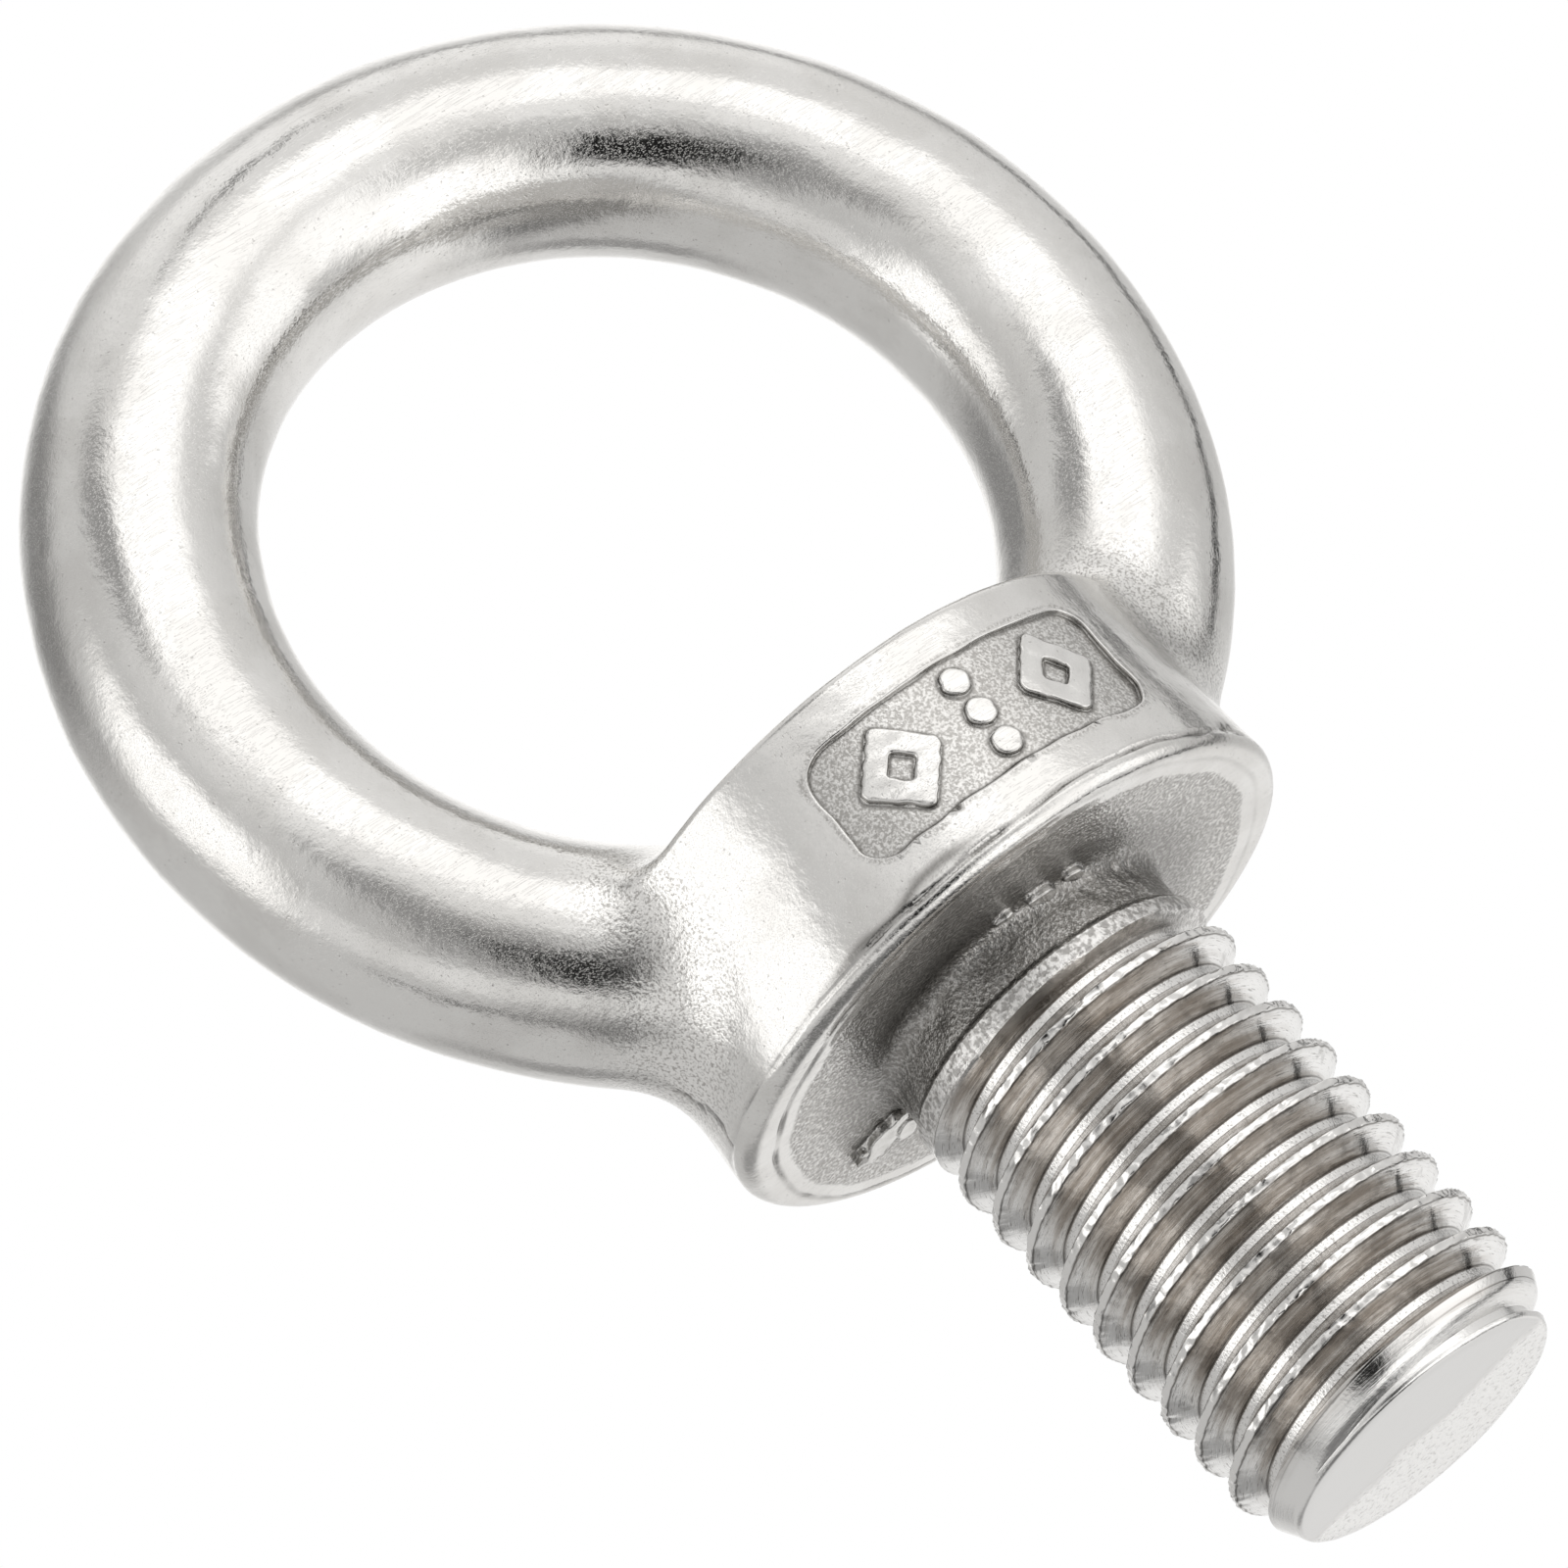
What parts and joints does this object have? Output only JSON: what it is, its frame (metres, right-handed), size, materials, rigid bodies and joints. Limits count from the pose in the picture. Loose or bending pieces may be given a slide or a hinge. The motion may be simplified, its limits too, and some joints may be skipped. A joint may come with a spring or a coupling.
{
  "type": "eye bolt",
  "caption": "Cast stainless steel lifting eye bolt: a round-bar ring standing on a drum-shaped collar, above a coarse-threaded shank that screws into a load.",
  "frame": {"origin": "centre of the seat face under the collar, on the thread axis", "axes": "+Z along the thread axis from the shank towards the eye; the eye's opening looks along Y; -Y is the side with the marked panel"},
  "size_m": [0.0594, 0.031, 0.0897],
  "materials": {
    "polished_casting": "cast stainless steel, tumble polished, with fine pits and hairline scratches",
    "collar_casting": "cast stainless steel, polished on the wall, grainy as cast in the panel, at the leg roots and under the seat",
    "cut_thread": "cut stainless steel thread, turned flanks with a grey-brown tone and bright torn crests"
  },
  "bodies": {
    "root": {"eye_ring": "polished_casting", "collar": "collar_casting", "threaded_shank": "cut_thread"}
  },
  "joints": []
}
